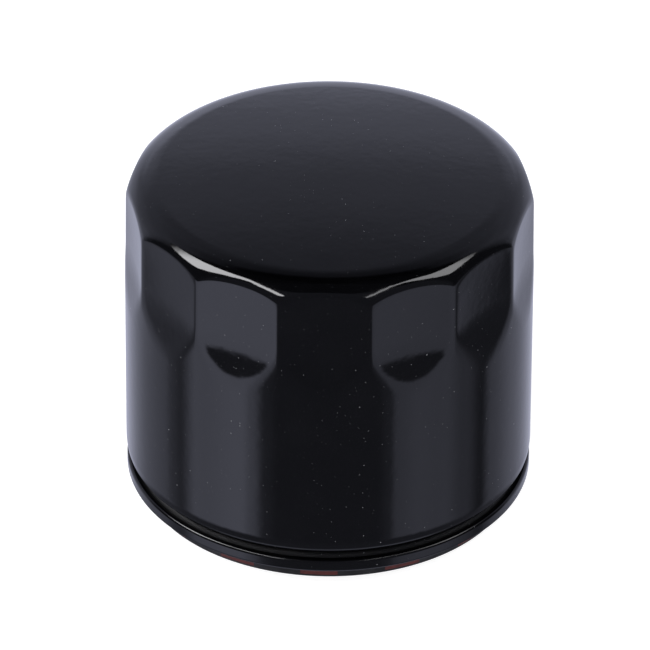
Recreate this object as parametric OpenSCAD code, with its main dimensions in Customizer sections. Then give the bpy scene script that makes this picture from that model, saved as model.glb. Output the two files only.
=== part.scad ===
// Spin-on engine oil filter. A deep-drawn canister is rolled onto a threaded base plate and
// holds a pleated element, a bypass valve, an anti-drainback flap and a retaining spring.
// Millimetres. +Z points to the domed end, and z = 0 is the sealing face of the gasket.

/* [Canister] */
// Outside diameter of the canister and of the rolled seam
can_d = 76; // [75:0.5:78]
// Height from the gasket's sealing face to the top of the dome
overall_h = 66.5; // [65:0.5:76]
// Sheet thickness of the canister
can_t = 0.45; // [0.4:0.05:0.5]
// Outside radius of the shoulder between the wall and the dome
shoulder_round = 6.2; // [5.6:0.1:6.8]
// Rise of the dome above the shoulder
dome_rise = 1.2; // [0.8:0.1:1.6]
// Outside radius of the bend at the bottom of the canister's wall
skirt_round = 1.6; // [1.2:0.1:1.8]

/* [Wrench flats] */
// Number of flats that a cap wrench grips
flat_count = 14; // [12:1:16]
// Size across the flats at their lower ends
flat_across = 74.1; // [74:0.1:74.8]
// How much deeper each flat lies at the shoulder than at its lower end
flat_draft = 0.4; // [0.2:0.05:0.6]
// Height of the lower end of the flats
flat_low_z = 48.8; // [44.3:0.5:50.3]
// Height of the sloping shelf that leads out of each flat to the wall
shelf_h = 6.8; // [4.4:0.4:7.6]

/* [Seaming lid and gasket] */
// Sheet thickness of the seaming lid
lid_t = 0.45; // [0.4:0.05:0.5]
// Height of the seam's lower face above the gasket's sealing face
seam_z = 2.8; // [2.6:0.1:3.2]
// Height of the rolled seam
seam_h = 2.5; // [2.2:0.1:2.6]
// Thickness of the gasket
gasket_h = 5.0; // [4.9:0.1:5.2]
// Radial width of the gasket
gasket_w = 4.7; // [4.2:0.1:5]

/* [Base plate] */
// Thickness of the base plate
plate_t = 2.5; // [2:0.1:2.6]
// Diameter of the threaded hole, at the crests of the thread
thread_d = 17.34; // [17.3:0.02:17.6]
// Length of the threaded hole, from the plate's lower face to the end of its neck
thread_h = 10; // [9:0.5:10]
// Number of oil inlet holes
inlet_count = 8; // [6:1:8]
// Diameter of each inlet hole
inlet_d = 6; // [5:0.5:6]
// Number of spot welds between the seaming lid and the base plate
weld_count = 8; // [4:1:12]

/* [Filter element] */
// Number of pleats
pleat_count = 48; // [36:1:50]
// Thickness of the filter paper
paper_t = 0.5; // [0.4:0.05:0.5]
// Outside diameter of the end caps
cap_d = 63; // [62:0.5:64]
// Outside diameter of the perforated centre tube
tube_d = 28.8; // [28.6:0.1:29]
// Rows of holes in the centre tube
tube_rows = 6; // [4:1:6]

/* [Valves] */
// Diameter of the bypass valve's opening
bypass_d = 10; // [8:0.5:11]
// Travel of the bypass poppet
bypass_travel = 3.5; // [2:0.5:4]
// Turns of the bypass spring
bypass_turns = 6; // [5:0.5:7]
// Outside diameter of the anti-drainback flap
flap_d = 49; // [47:0.5:52]

/* [Hidden] */

$fn = 96;
dome_fn = 1440;
far = 20;
// gap between sheets that are pressed together, and between parts that rest on each other
skin = 0.03;

body_r = can_d / 2;
sheet_t = 0.4;

// rolled seam, five sheets from the outside in
hook_r = body_r - lid_t - skin;
cover_r = hook_r - can_t - skin;
neck_r = cover_r - lid_t - skin;
chuck_r = neck_r - can_t - skin;
groove_r = chuck_r - lid_t;
seam_top_z = seam_z + seam_h;
compound_t = 0.21;
fold_z = seam_z + lid_t + compound_t + 2 * skin;
seam_edge = 0.3;

// canister outline
shoulder_r = body_r - shoulder_round;
shoulder_top_z = overall_h - dome_rise;
shoulder_z = shoulder_top_z - shoulder_round;
dome_r = (shoulder_r * shoulder_r + dome_rise * dome_rise) / (2 * dome_rise);
skirt_z = seam_top_z + 3.0;

// seaming lid
lid_z = gasket_h + skin;
lid_top_z = lid_z + lid_t;
bead_out_r = groove_r - 0.18 - gasket_w - 0.15;
bead_w = 2.3;
bead_z = 2.4;
lid_in_r = 22.5;
weld_r = 1.6;
weld_ring_r = 25.4;
weld_t = 0.9;

// base plate
plate_z = lid_top_z + skin;
plate_top_z = plate_z + plate_t;
plate_r = chuck_r - 0.25;
thread_r = thread_d / 2;
neck_out_r = 11.6;
neck_top_z = plate_z + thread_h;
inlet_ring_r = 17.3;

// anti-drainback valve
flap_r = flap_d / 2;
flap_t = 0.9;
collar_in_r = neck_out_r + 0.05;
collar_out_r = 13.3;
ledge_r = 15.6;
ledge_t = 1.2;
ledge_z = plate_top_z + 3.1;
collar_top_z = neck_top_z - 0.4;

// end caps and element
cap_r = cap_d / 2;
cap_rim_h = 4;
lower_cap_z = ledge_z + ledge_t + 2.2;
adhesive_t = 1.2;
paper_z = lower_cap_z + sheet_t + adhesive_t + 2 * skin;
upper_cap_top_z = overall_h - 13.1;
upper_cap_z = upper_cap_top_z - sheet_t;
paper_top_z = upper_cap_z - adhesive_t - 2 * skin;
tube_r = tube_d / 2;
tube_z = lower_cap_z + sheet_t + skin;
tube_top_z = upper_cap_z - skin;
tube_hole_d = 4;
tube_columns = 8;
paper_in_r = tube_r + 0.8;
paper_out_r = cap_r - 0.9;
tip_half_w = 0.75;

// bypass valve
cage_t = 0.5;
cage_r = 8.4;
cage_flange_r = 11.5;
seat_t = 0.8;
seat_z = upper_cap_z - skin - seat_t;
cage_top_z = seat_z - skin;
cage_h = 14.1;
cage_z = cage_top_z - cage_h;
stem_r = 2;
stem_gap = 0.06;
seal_t = 0.7;
seal_top_z = seat_z - 0.05;
poppet_r = 7;
poppet_t = 1.2;
poppet_top_z = seal_top_z - seal_t - skin;
poppet_z = poppet_top_z - poppet_t;
wire_r = 0.45;
coil_r = 4.6;
coil_z = cage_z + cage_t + wire_r + skin;
coil_top_z = poppet_z - wire_r - skin;
coil_steps = 20;
coil_sides = 8;

// leaf spring between the element and the dome
leaf_t = 0.6;
leaf_w = 9;
leaf_count = 4;
leaf_in_r = 6.5;
leaf_ring_r = 14;
leaf_tip_r = 24;
leaf_z = upper_cap_top_z + skin;
leaf_top_z = shoulder_top_z - can_t - 0.35;

// a rectangle of the half-section, from its radii and heights
module slab(r0, r1, z0, z1) {
    translate([r0, z0])
        square([r1 - r0, z1 - z0]);
}

// a copy of the children at each of n places around the axis
module around(n, start = 0) {
    for (i = [0 : n - 1])
        rotate([0, 0, start + i * 360 / n])
            children();
}

// half-section of the canister's upper form, moved in by inset
module can_outline(inset) {
    slab(0, body_r - inset, skirt_z, shoulder_z);
    slab(0, shoulder_r, shoulder_z, shoulder_z + 1);
    translate([shoulder_r, shoulder_z])
        intersection() {
            circle(r = shoulder_round - inset);
            square(far);
        }
    intersection() {
        slab(0, shoulder_r, shoulder_z + 1, overall_h);
        translate([0, overall_h - inset - dome_r])
            circle(r = dome_r, $fn = dome_fn);
    }
}

// the block beyond one wrench flat and its shelf, moved in by inset; the flat faces -Y
module flat_cutter(inset) {
    low_d = flat_across / 2 - inset;
    draft_rate = flat_draft / (shoulder_top_z - flat_low_z);
    shelf_rate = shelf_h / (body_r - flat_across / 2);
    top_z = overall_h + 5;
    past_wall = 0.5;
    end_r = body_r + past_wall - inset;
    end_z = flat_low_z - shelf_rate * (end_r - low_d);
    rotate([90, 0, -90])
        linear_extrude(height = body_r, center = true)
            polygon([
                [low_d, flat_low_z],
                [end_r, end_z],
                [body_r + far, end_z],
                [body_r + far, top_z],
                [low_d - draft_rate * (top_z - flat_low_z), top_z]
            ]);
}

// the canister's upper form as a solid, moved in by inset
module can_form(inset) {
    difference() {
        rotate_extrude()
            can_outline(inset);
        around(flat_count)
            flat_cutter(inset);
    }
}

// half-section of the bend below the wall, the neck and the hook that the lid grips
module can_skirt_section() {
    bend_r = body_r - skirt_round;
    intersection() {
        translate([bend_r, skirt_z])
            difference() {
                circle(r = skirt_round);
                circle(r = skirt_round - can_t);
            }
        slab(neck_r - can_t, body_r, skirt_z - skirt_round, skirt_z);
    }
    slab(neck_r - can_t, neck_r, fold_z, skirt_z - skirt_round + can_t);
    slab(neck_r - can_t, hook_r, fold_z, fold_z + can_t);
    slab(hook_r - can_t, hook_r, fold_z, seam_top_z - lid_t - skin);
}

module can() {
    color([0.05, 0.05, 0.06]) {
        difference() {
            can_form(0);
            can_form(can_t);
        }
        rotate_extrude()
            can_skirt_section();
    }
}

// the flat ring, the bead inside the gasket, the gasket's groove and the rolled edge
module seaming_lid() {
    bead_in_r = bead_out_r - bead_w;
    color([0.12, 0.12, 0.13])
        difference() {
            rotate_extrude() {
                slab(lid_in_r, bead_in_r + lid_t, lid_z, lid_top_z);
                slab(bead_in_r, bead_in_r + lid_t, bead_z, lid_top_z);
                slab(bead_in_r, bead_out_r, bead_z, bead_z + lid_t);
                slab(bead_out_r - lid_t, bead_out_r, bead_z, lid_top_z);
                slab(bead_out_r - lid_t, chuck_r, lid_z, lid_top_z);
                slab(groove_r, chuck_r, seam_z, lid_top_z);
                polygon([
                    [groove_r, seam_z],
                    [body_r - seam_edge, seam_z],
                    [body_r, seam_z + seam_edge],
                    [body_r, seam_top_z - seam_edge],
                    [body_r - seam_edge, seam_top_z],
                    [cover_r - lid_t, seam_top_z],
                    [cover_r - lid_t, fold_z + can_t + skin],
                    [cover_r, fold_z + can_t + skin],
                    [cover_r, seam_top_z - lid_t],
                    [hook_r + skin, seam_top_z - lid_t],
                    [hook_r + skin, seam_z + lid_t],
                    [groove_r, seam_z + lid_t]
                ]);
            }
            around(weld_count)
                translate([weld_ring_r, 0, lid_z - 1])
                    cylinder(r = weld_r + skin, h = 3);
        }
}

// bead of sealing compound between the rolled sheets
module seam_compound() {
    color([0.75, 0.72, 0.62])
        rotate_extrude()
            slab(neck_r - can_t, hook_r, seam_z + lid_t + skin, fold_z - skin);
}

// weld nuggets, sunk into the lid and the plate
module spot_welds() {
    color([0.35, 0.35, 0.37])
        around(weld_count)
            translate([weld_ring_r, 0, lid_z])
                cylinder(r = weld_r, h = weld_t);
}

// thick plate with the threaded neck and a ring of inlet holes
module base_plate() {
    color([0.55, 0.55, 0.58])
        difference() {
            union() {
                translate([0, 0, plate_z])
                    cylinder(r = plate_r, h = plate_t);
                translate([0, 0, plate_z])
                    cylinder(r = neck_out_r, h = thread_h);
            }
            translate([0, 0, plate_z - 1])
                cylinder(r = thread_r, h = thread_h + 2);
            around(inlet_count)
                translate([inlet_ring_r, 0, plate_z - 1])
                    cylinder(d = inlet_d, h = plate_t + 2);
            around(weld_count)
                translate([weld_ring_r, 0, plate_z - 1])
                    cylinder(r = weld_r + skin, h = 1 + lid_z + weld_t + skin - plate_z);
        }
}

module gasket() {
    out_r = groove_r - 0.18;
    in_r = out_r - gasket_w;
    edge = 0.3;
    color([0.08, 0.08, 0.08])
        rotate_extrude()
            polygon([
                [in_r + edge, 0],
                [out_r - edge, 0],
                [out_r, edge],
                [out_r, gasket_h - edge],
                [out_r - edge, gasket_h],
                [in_r + edge, gasket_h],
                [in_r, gasket_h - edge],
                [in_r, edge]
            ]);
}

// rubber collar on the neck, with a thin skirt that covers the inlet holes
module drainback_valve() {
    rest_z = plate_top_z + 0.05;
    lip_w = 2.5;
    color([0.55, 0.12, 0.08])
        rotate_extrude()
            polygon([
                [collar_in_r, ledge_z - 0.6],
                [flap_r - lip_w, rest_z],
                [flap_r, rest_z],
                [flap_r, rest_z + flap_t],
                [flap_r - lip_w, rest_z + flap_t],
                [ledge_r, ledge_z + 0.4],
                [ledge_r, ledge_z + ledge_t],
                [collar_out_r, ledge_z + ledge_t],
                [collar_out_r, collar_top_z],
                [collar_in_r, collar_top_z]
            ]);
}

// pressed cup that closes the element's lower end and sits on the rubber collar
module lower_end_cap() {
    in_r = collar_out_r + 0.1;
    color([0.72, 0.72, 0.74])
        rotate_extrude() {
            slab(in_r, cap_r, lower_cap_z, lower_cap_z + sheet_t);
            slab(cap_r - sheet_t, cap_r, lower_cap_z, lower_cap_z + cap_rim_h);
            slab(in_r, in_r + sheet_t, ledge_z + ledge_t + skin, lower_cap_z + sheet_t);
        }
}

// ring of potting compound that glues the pleats into an end cap
module adhesive_ring(z) {
    color([0.85, 0.82, 0.7])
        translate([0, 0, z])
            difference() {
                cylinder(r = cap_r - sheet_t - skin, h = adhesive_t);
                translate([0, 0, -1])
                    cylinder(r = tube_r + skin, h = adhesive_t + 2);
            }
}

module lower_adhesive() {
    adhesive_ring(lower_cap_z + sheet_t + skin);
}

module upper_adhesive() {
    adhesive_ring(upper_cap_z - skin - adhesive_t);
}

// one outline of the pleats: outer and inner tips, each a short flat of the given half width
function pleat_outline(out_r, out_w, in_r, in_w) = [
    for (i = [0 : pleat_count - 1])
        for (corner = [[out_r, -out_w, 0], [out_r, out_w, 0],
                       [in_r, -in_w, 0.5], [in_r, in_w, 0.5]])
            let (angle = (i + corner[2]) * 360 / pleat_count + asin(corner[1] / corner[0]))
                corner[0] * [cos(angle), sin(angle)]
];

module pleated_paper() {
    thin_w = tip_half_w - paper_t;
    color([0.86, 0.74, 0.45])
        translate([0, 0, paper_z])
            linear_extrude(height = paper_top_z - paper_z)
                difference() {
                    polygon(pleat_outline(paper_out_r, tip_half_w, paper_in_r + paper_t, thin_w));
                    polygon(pleat_outline(paper_out_r - paper_t, thin_w, paper_in_r, tip_half_w));
                }
}

// folded strip that clips the two ends of the paper together over one pleat
module pleat_clip() {
    clip_t = 0.3;
    tip_x = paper_out_r * cos(asin(tip_half_w / paper_out_r));
    in_w = tip_half_w + 0.08;
    leg = 3.2;
    pinch = 0.06;
    color([0.6, 0.6, 0.62])
        translate([0, 0, paper_z + 0.5])
            linear_extrude(height = paper_top_z - paper_z - 1)
                polygon([
                    [tip_x - leg, -in_w + pinch],
                    [tip_x + 0.08, -in_w],
                    [tip_x + 0.08, in_w],
                    [tip_x - leg, in_w - pinch],
                    [tip_x - leg, in_w - pinch + clip_t],
                    [tip_x + 0.08 + clip_t, in_w + clip_t],
                    [tip_x + 0.08 + clip_t, -in_w - clip_t],
                    [tip_x - leg, -in_w + pinch - clip_t]
                ]);
}

// perforated tube that carries the pleats from inside
module centre_tube() {
    h = tube_top_z - tube_z;
    pitch = h / (tube_rows + 0.5);
    color([0.7, 0.7, 0.72])
        difference() {
            translate([0, 0, tube_z])
                difference() {
                    cylinder(r = tube_r, h = h);
                    translate([0, 0, -1])
                        cylinder(r = tube_r - sheet_t, h = h + 2);
                }
            for (row = [0 : tube_rows - 1])
                translate([0, 0, tube_z + (row + 0.75) * pitch])
                    around(tube_columns / 2, (row % 2) * 180 / tube_columns)
                        rotate([0, 90, 0])
                            cylinder(d = tube_hole_d, h = 4 * tube_r, center = true, $fn = 32);
        }
}

// pressed cup that closes the element's upper end; its inner skirt is crimped round the
// bypass valve's seat and cage
module upper_end_cap() {
    hole_r = 9;
    crimp_r = cage_flange_r + skin;
    crimp_lip = 1.2;
    crimp_z = cage_top_z - cage_t - skin - sheet_t;
    color([0.72, 0.72, 0.74])
        rotate_extrude() {
            slab(hole_r, cap_r, upper_cap_z, upper_cap_top_z);
            slab(cap_r - sheet_t, cap_r, upper_cap_top_z - cap_rim_h, upper_cap_top_z);
            slab(crimp_r, crimp_r + sheet_t, crimp_z, upper_cap_top_z);
            slab(crimp_r - crimp_lip, crimp_r + sheet_t, crimp_z, crimp_z + sheet_t);
        }
}

// ring that the bypass poppet closes against
module bypass_seat() {
    color([0.65, 0.65, 0.67])
        translate([0, 0, seat_z])
            difference() {
                cylinder(r = cage_flange_r, h = seat_t);
                translate([0, 0, -1])
                    cylinder(d = bypass_d, h = seat_t + 2);
            }
}

// flanged cup with windows that holds the spring and guides the poppet's stem
module bypass_cage() {
    window_h = 6.5;
    window_w = 7;
    color([0.6, 0.6, 0.63])
        difference() {
            rotate_extrude() {
                slab(cage_r - cage_t, cage_flange_r, cage_top_z - cage_t, cage_top_z);
                slab(cage_r - cage_t, cage_r, cage_z, cage_top_z);
                slab(stem_r + stem_gap, cage_r, cage_z, cage_z + cage_t);
            }
            around(2, 45)
                translate([0, 0, cage_z + 2.5 + window_h / 2])
                    cube([3 * cage_r, window_w, window_h], center = true);
        }
}

// disc and guide stem
module bypass_poppet() {
    stem_low_z = cage_z - 2;
    color([0.9, 0.88, 0.82]) {
        translate([0, 0, poppet_z])
            cylinder(r = poppet_r, h = poppet_t);
        translate([0, 0, stem_low_z])
            cylinder(r = stem_r, h = poppet_z - stem_low_z + 0.5);
    }
}

// rubber washer on the poppet
module bypass_seal() {
    color([0.12, 0.12, 0.12])
        translate([0, 0, seal_top_z - seal_t])
            cylinder(r = poppet_r - 0.2, h = seal_t);
}

// round wire wound on a helix, swept as rings of points; the end turns lie closed
module bypass_spring() {
    rings = ceil(bypass_turns * coil_steps);
    rise = coil_top_z - coil_z;
    // share of the rise at share u of the wire: level for the first and last turn
    function climb(u) = min(1, max(0, (u * bypass_turns - 0.8) / (bypass_turns - 1.6)));
    points = [
        for (i = [0 : rings])
            for (k = [0 : coil_sides - 1])
                let (
                    angle = i * 360 * bypass_turns / rings,
                    side = k * 360 / coil_sides,
                    r = coil_r + wire_r * cos(side)
                )
                    [r * cos(angle), r * sin(angle), coil_z + rise * climb(i / rings)
                        + wire_r * sin(side)]
    ];
    walls = [
        for (i = [0 : rings - 1])
            for (k = [0 : coil_sides - 1])
                let (
                    next = (k + 1) % coil_sides,
                    a = i * coil_sides + k,
                    b = i * coil_sides + next
                )
                    [a, b, b + coil_sides, a + coil_sides]
    ];
    first_end = [for (k = [coil_sides - 1 : -1 : 0]) k];
    last_end = [for (k = [0 : coil_sides - 1]) rings * coil_sides + k];
    color([0.8, 0.8, 0.82])
        polyhedron(points = points, faces = concat(walls, [first_end, last_end]));
}

// pressed leaf spring: a ring on the upper end cap with arms that bear on the dome
module element_spring() {
    tip_flat = 4;
    color([0.75, 0.75, 0.78]) {
        translate([0, 0, leaf_z])
            difference() {
                cylinder(r = leaf_ring_r, h = leaf_t);
                translate([0, 0, -1])
                    cylinder(r = leaf_in_r, h = leaf_t + 2);
            }
        around(leaf_count, 45)
            rotate([90, 0, 0])
                linear_extrude(height = leaf_w, center = true)
                    polygon([
                        [leaf_ring_r - 2.5, leaf_z],
                        [leaf_ring_r + 0.6, leaf_z],
                        [leaf_tip_r, leaf_top_z - leaf_t],
                        [leaf_tip_r + tip_flat, leaf_top_z - leaf_t - 0.8],
                        [leaf_tip_r + tip_flat, leaf_top_z - 0.8],
                        [leaf_tip_r - 0.2, leaf_top_z],
                        [leaf_ring_r, leaf_z + leaf_t],
                        [leaf_ring_r - 2.5, leaf_z + leaf_t]
                    ]);
    }
}

can();
seaming_lid();
seam_compound();
base_plate();
spot_welds();
gasket();
drainback_valve();
lower_end_cap();
lower_adhesive();
pleated_paper();
pleat_clip();
centre_tube();
upper_adhesive();
upper_end_cap();
bypass_seat();
bypass_cage();
bypass_poppet();
bypass_seal();
bypass_spring();
element_spring();
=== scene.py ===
"""Visual model of a spin-on oil filter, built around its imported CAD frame.

Lengths in this file are millimetres until a mesh is made; MM turns them into metres.
"""
import math

import bmesh
import bpy
import numpy as np
from mathutils import Matrix, Vector


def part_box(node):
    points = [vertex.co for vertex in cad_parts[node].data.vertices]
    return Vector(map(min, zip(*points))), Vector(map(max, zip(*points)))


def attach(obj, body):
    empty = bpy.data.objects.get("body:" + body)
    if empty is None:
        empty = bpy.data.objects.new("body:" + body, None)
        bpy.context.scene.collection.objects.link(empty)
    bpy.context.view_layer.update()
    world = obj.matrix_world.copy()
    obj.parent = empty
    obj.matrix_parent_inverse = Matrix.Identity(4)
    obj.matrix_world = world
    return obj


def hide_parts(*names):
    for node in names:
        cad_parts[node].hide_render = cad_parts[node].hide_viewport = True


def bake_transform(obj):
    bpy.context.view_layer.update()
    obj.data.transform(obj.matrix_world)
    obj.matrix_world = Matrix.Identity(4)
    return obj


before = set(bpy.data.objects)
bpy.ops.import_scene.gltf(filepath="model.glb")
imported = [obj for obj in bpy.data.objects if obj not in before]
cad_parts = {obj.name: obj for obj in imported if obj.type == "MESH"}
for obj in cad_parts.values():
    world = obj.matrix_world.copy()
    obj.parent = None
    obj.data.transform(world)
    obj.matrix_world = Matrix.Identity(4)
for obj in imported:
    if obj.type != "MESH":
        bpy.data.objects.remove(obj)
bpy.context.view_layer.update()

MM = 0.001
ROOT = "filter_body"
scene = bpy.context.scene


# ---------------------------------------------------------------- sizes from the frame

def box_mm(node):
    """Outer radius, lowest height and highest height of a round CAD node."""
    low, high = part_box(node)
    return high.x / MM, low.z / MM, high.z / MM


BODY_R, FOLD_Z, TOP_Z = box_mm("can")
GASKET_R, _, GASKET_H = box_mm("gasket")
PLATE_R, PLATE_Z, NECK_TOP_Z = box_mm("base_plate")
VALVE_R, VALVE_Z, COLLAR_TOP_Z = box_mm("drainback_valve")
SPRING_R, SPRING_Z, SPRING_TOP_Z = box_mm("bypass_spring")
_, BEAD_Z, LID_TOP_Z = box_mm("seaming_lid")

# sheet metal
CAN_T = 0.45
LID_T = 0.45
# gap left between sheets that touch in the seam
SKIN = 0.03

# canister: the half-section is a wide dome, a crown that eases its edge, a tight shoulder and
# the straight wall; each edge is the angle from upright at which one arc hands over to the next
DOME_EDGE = math.radians(4.0)
CROWN_EDGE = math.radians(12.5)
CROWN_ROUND = 14.0
SHOULDER_ROUND = 5.6
SKIRT_ROUND = 1.5
SKIRT_EASE = 10.0
SKIRT_EASE_ANGLE = 9.0
SHOULDER_R = BODY_R - SHOULDER_ROUND
CROWN_R = SHOULDER_R - (CROWN_ROUND - SHOULDER_ROUND) * math.sin(CROWN_EDGE)
DOME_R = CROWN_ROUND + CROWN_R / math.sin(DOME_EDGE)
DOME_CENTRE = TOP_Z - DOME_R
CROWN_Z = DOME_CENTRE + (DOME_R - CROWN_ROUND) * math.cos(DOME_EDGE)
SHOULDER_Z = CROWN_Z + (CROWN_ROUND - SHOULDER_ROUND) * math.cos(CROWN_EDGE)

# wrench flats: distance from the axis, lean, lower edge, and the sloped shelf below it
FLATS = 14
FLAT_D = 37.0
FLAT_DRAFT = 0.15
FLAT_LOW_Z = 48.8
FLAT_TOP_Z = SHOULDER_Z + SHOULDER_ROUND
SHELF_H = 7.0
# each flat is very slightly hollow: depth, half width, half height, and height of its middle
FLAT_DISH = 0.15
DISH_HALF_W = 8.0
DISH_HALF_H = 9.0
DISH_UP = 6

# rolled seam, from the outside in
SEAM_INSET = 0.14
SEAM_R = BODY_R - SEAM_INSET
HOOK_R = SEAM_R - LID_T - SKIN
COVER_R = HOOK_R - CAN_T - SKIN
NECK_R = COVER_R - LID_T - SKIN
CHUCK_R = NECK_R - CAN_T - SKIN
GROOVE_R = CHUCK_R - LID_T
SEAM_Z = 2.8
SEAM_H = 2.5
NECK_H = 3.0
SEAM_TOP_Z = SEAM_Z + SEAM_H
SKIRT_Z = SEAM_TOP_Z + NECK_H
# the wall leans in slightly from this height, before the skirt's tight bend
EASE_Z = SKIRT_Z + (SKIRT_EASE - SKIRT_ROUND) * math.sin(math.radians(SKIRT_EASE_ANGLE))


# ---------------------------------------------------------------- mesh helpers

def make_object(name, verts, faces, smooth=True):
    """A mesh object from vertices in millimetres."""
    mesh = bpy.data.meshes.new(name)
    mesh.from_pydata((np.asarray(verts, float) * MM).tolist(), [], faces)
    mesh.update()
    if smooth:
        mesh.polygons.foreach_set("use_smooth", [True] * len(mesh.polygons))
    obj = bpy.data.objects.new(name, mesh)
    scene.collection.objects.link(obj)
    return obj


def grid_faces(rows, columns, close_rows):
    """Quads of a grid whose columns wrap round the axis; its rows may close into a loop."""
    last = rows if close_rows else rows - 1
    i, j = np.meshgrid(np.arange(last), np.arange(columns), indexing="ij")
    i2, j2 = (i + 1) % rows, (j + 1) % columns
    quads = np.stack([i * columns + j, i2 * columns + j, i2 * columns + j2, i * columns + j2], -1)
    return quads.reshape(-1, 4).tolist()


def even_angles(count):
    return np.arange(count) * 2 * math.pi / count


def lathe(name, outline, angles, shift=None):
    """A closed ring turned from a closed outline of (radius, height) points.

    shift(radius, height, angle) may return a changed radius and height.
    """
    outline = np.asarray(outline, float)
    r = np.repeat(outline[:, :1], len(angles), 1)
    z = np.repeat(outline[:, 1:], len(angles), 1)
    phi = np.repeat(angles[None, :], len(outline), 0)
    if shift:
        r, z = shift(r, z, phi)
    verts = np.stack([r * np.sin(phi), -r * np.cos(phi), z], -1).reshape(-1, 3)
    return make_object(name, verts, grid_faces(len(outline), len(angles), True))


def arc(centre, radius, start, end, steps):
    """Points of an arc in the half-section, with angles in degrees."""
    t = np.radians(np.linspace(start, end, steps + 1))
    return np.stack([centre[0] + radius * np.cos(t), centre[1] + radius * np.sin(t)], -1)


# a corner radius that leaves a corner sharp
NO_ROUND = 0.001


def rounded(points, radius, steps=6, closed=True):
    """An outline with its corners rounded.

    Each point is (r, z) or (r, z, radius). A point just outside each end of a round
    holds the shading of the straight run beside it.
    """
    hold = 0.12
    out = []
    n = len(points)
    for i, p in enumerate(points):
        here = np.array(p[:2], float)
        if not closed and i in (0, n - 1):
            out.append(here)
            continue
        before = np.array(points[i - 1][:2], float) - here
        after = np.array(points[(i + 1) % n][:2], float) - here
        la, lb = np.linalg.norm(before), np.linalg.norm(after)
        a, b = before / la, after / lb
        rad = p[2] if len(p) > 2 else radius
        angle = math.acos(max(-1.0, min(1.0, float(a @ b))))
        reach = rad / math.tan(angle / 2)
        limit = 0.46 * min(la, lb)
        if reach > limit:
            rad *= limit / reach
            reach = limit
        if rad < 1e-4:
            out.append(here)
            continue
        mid = (a + b) / np.linalg.norm(a + b)
        centre = here + mid * rad / math.sin(angle / 2)
        first, last = here + a * reach, here + b * reach
        spread = math.pi - angle
        out.append(first + a * min(hold * rad, 0.5 * (la - reach)))
        u = (first - centre) / rad
        v = np.array([-u[1], u[0]])
        if v @ (last - first) < 0:
            v = -v
        for k in range(steps + 1):
            t = spread * k / steps
            out.append(centre + rad * (u * math.cos(t) + v * math.sin(t)))
        out.append(last + b * min(hold * rad, 0.5 * (lb - reach)))
    return np.array(out)


def dense(points, longest, closed=True):
    """The same outline with its long runs cut into steps no longer than given."""
    out = []
    n = len(points)
    for i in range(n if closed else n - 1):
        a, b = points[i], points[(i + 1) % n]
        steps = max(1, int(math.ceil(np.linalg.norm(b - a) / longest)))
        out += [a + (b - a) * k / steps for k in range(steps)]
    if not closed:
        out.append(points[-1])
    return np.array(out)


def sides_of(line, half):
    """The direction along a line at each point, and its offset to the left."""
    step = np.gradient(line, axis=0)
    step /= np.linalg.norm(step, axis=1)[:, None]
    return step, np.stack([-step[:, 1], step[:, 0]], -1) * half


def sheet(path, thickness, radius):
    """Closed outline of a sheet bent along an open centre line."""
    line = rounded(path, radius, closed=False)
    step, side = sides_of(line, thickness / 2)
    left, right = line + side, line - side
    nose = 3
    caps = []
    for end, s, d in ((line[-1], side[-1], step[-1]), (line[0], -side[0], -step[0])):
        t = np.linspace(0, math.pi, nose + 2)[1:-1]
        caps.append(np.array([end + s * math.cos(a) + d * thickness / 2 * math.sin(a) for a in t]))
    return np.concatenate([left, caps[0], right[::-1], caps[1]])


def smooth_max(a, b, k):
    """The larger of two distances, with the edge between them eased where they are within k."""
    h = np.maximum(k - np.abs(a - b), 0) / k
    return np.maximum(a, b) + h * h * k / 4


def smooth_min(a, b, k):
    return -smooth_max(-a, -b, k)


# ---------------------------------------------------------------- canister

# how widely the flats' corners, upper edges and shelves are blended
CORNER_BLEND = 0.16
TOP_BLEND = 0.42
SHELF_BLEND = 0.30
# the shelf's blend turns into the upper edge's blend over this stretch above the flat's lower edge
BLEND_START = 3
BLEND_RUN = 6
# how far an outline point may move inwards or outwards to reach the form
REACH_IN = -4.0
REACH_OUT = 1.0


def round_form(r, z):
    """Signed distance to the canister's round outline, above its skirt."""
    shoulder = np.hypot(np.maximum(r - SHOULDER_R, 0), np.maximum(z - SHOULDER_Z, 0)) - SHOULDER_ROUND
    wall = r - BODY_R
    dome = np.hypot(r, z - DOME_CENTRE) - DOME_R
    in_dome = np.arctan2(r, z - DOME_CENTRE) < DOME_EDGE
    crown = np.hypot(r - CROWN_R, z - CROWN_Z) - CROWN_ROUND
    in_crown = np.arctan2(r - CROWN_R, z - CROWN_Z) < CROWN_EDGE
    side = np.where(z < SHOULDER_Z, wall, shoulder)
    return np.where(in_dome, dome, np.where(in_crown, crown, side))


def flat_cut(r, z, psi):
    """Signed distance to one flat and its shelf, at angle psi from the flat's middle."""
    out = r * np.cos(psi)
    flat = out - (FLAT_D - FLAT_DRAFT * (z - FLAT_LOW_Z) / (FLAT_TOP_Z - FLAT_LOW_Z))
    across = r * np.sin(psi) / DISH_HALF_W
    along = (z - FLAT_LOW_Z - DISH_UP) / DISH_HALF_H
    flat = flat + FLAT_DISH * np.clip(1 - across ** 2, 0, 1) * np.clip(1 - along ** 2, 0, 1)
    run = BODY_R - FLAT_D
    shelf = ((out - FLAT_D) * SHELF_H + (z - FLAT_LOW_Z) * run) / math.hypot(SHELF_H, run)
    return smooth_min(flat, shelf, SHELF_BLEND)


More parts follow.
